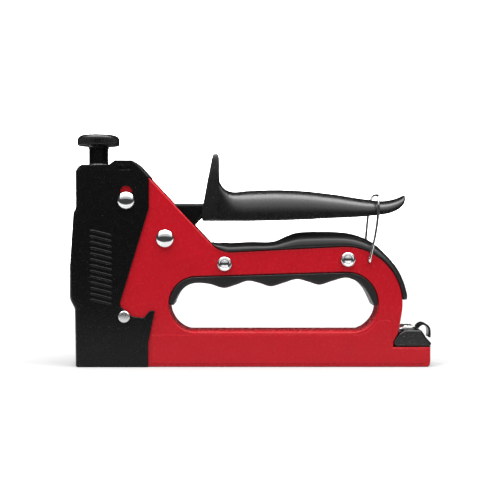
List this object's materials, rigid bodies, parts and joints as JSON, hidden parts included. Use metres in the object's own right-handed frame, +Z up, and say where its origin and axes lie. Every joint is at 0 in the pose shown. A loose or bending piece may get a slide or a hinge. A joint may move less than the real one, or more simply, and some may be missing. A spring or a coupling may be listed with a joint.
{
  "type": "hand staple gun",
  "caption": "Hand-squeezed staple gun: pressed shells, black nose, lever-lifted spring striker, tension knob, wire handle lock and rear-loading staple magazine.",
  "frame": {"origin": "middle of the bounding box in X and Y, on the plane that the gun stands on, which is the underside of the magazine", "axes": "+X from the nose to the tail, +Y across the body towards the right-hand shell, +Z up from the magazine to the handle"},
  "size_m": [0.1804, 0.0236, 0.1179],
  "materials": {
    "red_paint": "satin powder coat",
    "black_paint": "satin powder coat",
    "handle_plastic": "smooth moulded",
    "grip_plastic": "fine moulded grain",
    "bumper_rubber": "matte",
    "bright_steel": "bright plated",
    "plain_steel": "bare, oiled",
    "spring_steel": "drawn wire",
    "zinc_plate": "zinc plated"
  },
  "bodies": {
    "frame": {"left_side_shell": "red_paint", "right_side_shell": "red_paint", "nose_cover": "black_paint", "front_plate": "plain_steel", "striker_bumper": "bumper_rubber", "tension_nut": "plain_steel", "staple_rail": "plain_steel", "upper_grip": "grip_plastic", "finger_grip": "grip_plastic", "lever_pivot_rivet": "bright_steel", "front_grip_rivet": "bright_steel", "rear_grip_rivet": "bright_steel", "nose_upper_rivet": "bright_steel", "nose_lower_rivet": "zinc_plate", "pivot_bush": "plain_steel", "left_pivot_washer": "zinc_plate", "right_pivot_washer": "zinc_plate", "front_spacer_sleeve": "zinc_plate", "rear_spacer_sleeve": "zinc_plate"},
    "lever": {"lever_arm": "black_paint", "lever_handle": "handle_plastic"},
    "striker": {"striker_carrier": "plain_steel", "driver_blade": "plain_steel", "lower_blade_rivet": "zinc_plate", "upper_blade_rivet": "zinc_plate"},
    "tension_seat": {"spring_seat": "zinc_plate", "main_spring": "spring_steel"},
    "tension_adjuster": {"tension_knob": "handle_plastic", "tension_screw": "black_paint"},
    "bail": {"handle_lock_bail": "bright_steel"},
    "magazine": {"guide_rod": "plain_steel", "follower_spring": "spring_steel", "end_cap": "handle_plastic", "catch_plate": "zinc_plate"},
    "follower": {"staple_follower": "zinc_plate"},
    "catch": {"end_catch": "black_paint"}
  },
  "joints": [
    {"name": "lever_swing", "type": "hinge", "parent": "frame", "child": "lever", "pos_m": [-0.0434, 0, 0.0645], "axis": [0, -1, 0], "range_deg": [-4.5, 25], "stiffness_Nm_per_rad": 6, "springref_deg": 0.33, "deforming": ["handle_lock_bail"]},
    {"name": "striker_lift", "type": "slide", "parent": "frame", "child": "striker", "axis": [0, 0, 1], "range_m": [-0.0132, 0.0025], "deforming": ["main_spring"]},
    {"name": "tension_travel", "type": "slide", "parent": "frame", "child": "tension_seat", "axis": [0, 0, 1], "range_m": [-0.00375, 0.0025]},
    {"name": "tension_turn", "type": "hinge", "parent": "tension_seat", "child": "tension_adjuster", "pos_m": [-0.0778, 0, 0.1099], "axis": [0, 0, 1], "range_deg": [-1082, 722]},
    {"name": "bail_swing", "type": "hinge", "parent": "frame", "child": "bail", "pos_m": [0.0589, 0, 0.053], "axis": [0, 1, 0], "range_deg": [0, 140]},
    {"name": "magazine_pull", "type": "slide", "parent": "frame", "child": "magazine", "axis": [1, 0, 0], "range_m": [0, 0.12]},
    {"name": "follower_slide", "type": "slide", "parent": "magazine", "child": "follower", "axis": [1, 0, 0], "range_m": [0, 0.1], "stiffness_N_per_m": 20, "springref_m": -0.03, "deforming": ["follower_spring"]},
    {"name": "catch_press", "type": "hinge", "parent": "magazine", "child": "catch", "pos_m": [0.083, 0, 0.0189], "axis": [0, 1, 0], "range_deg": [0, 6], "stiffness_Nm_per_rad": 0.5}
  ],
  "couplings": [
    {"joint": "striker_lift", "follows": "lever_swing", "m_per_rad": -0.03},
    {"joint": "tension_turn", "follows": "tension_travel", "rad_per_m": 5026.5}
  ]
}
